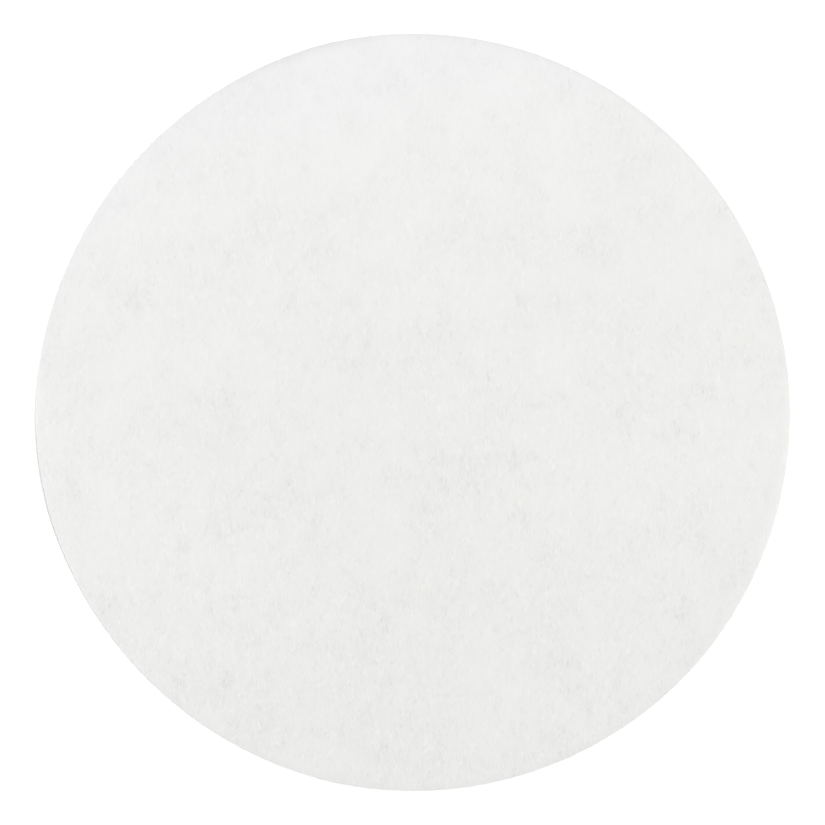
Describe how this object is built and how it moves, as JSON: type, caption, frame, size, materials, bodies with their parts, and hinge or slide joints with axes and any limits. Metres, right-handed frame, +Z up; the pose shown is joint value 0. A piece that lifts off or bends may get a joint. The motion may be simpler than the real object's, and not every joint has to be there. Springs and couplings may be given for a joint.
{
  "type": "filter paper disc",
  "caption": "Thin round sheet of white filter paper with a die-cut edge and a slightly lifted rim, laid flat in a laboratory funnel to hold back solids.",
  "frame": {"origin": "middle of the underside, on the surface that the sheet lies on", "axes": "+Z up through the sheet's thickness; +X to the right and +Y to the top of the picture's view from above"},
  "size_m": [0.0698, 0.07, 0.0004],
  "materials": {
    "filter_paper": "matte uncoated cellulose fibre, faint cloudy formation, no print"
  },
  "bodies": {
    "root": {"filter_disc": "filter_paper"}
  },
  "joints": []
}
